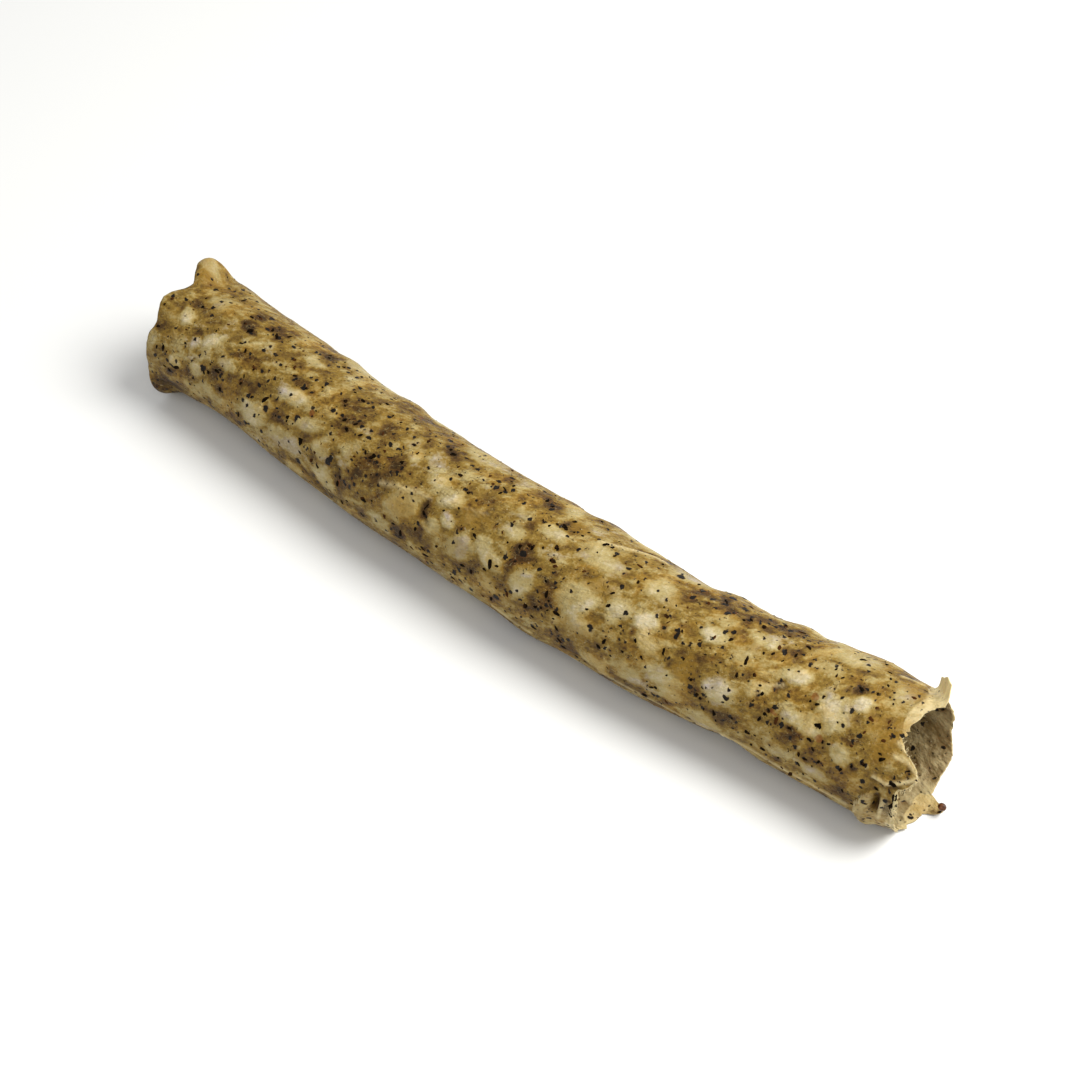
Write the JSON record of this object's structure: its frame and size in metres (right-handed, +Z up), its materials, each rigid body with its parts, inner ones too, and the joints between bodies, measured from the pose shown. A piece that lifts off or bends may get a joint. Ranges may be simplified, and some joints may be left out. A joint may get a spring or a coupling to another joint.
{
  "type": "cured sausage",
  "caption": "Thin dry-cured sausage stick with a mottled fat-and-pepper surface, one end cut blunt and the other torn open.",
  "frame": {"origin": "on the surface it lies on, under the middle of its bounding box", "axes": "+Z up, +X along the sausage from the cut end to the torn mouth, +Y towards the side its ends bow to"},
  "size_m": [0.1652, 0.028, 0.0237],
  "materials": {
    "casing": "satin",
    "filling": "matte"
  },
  "bodies": {
    "root": {"casing": "casing", "filling": "filling"}
  },
  "joints": []
}
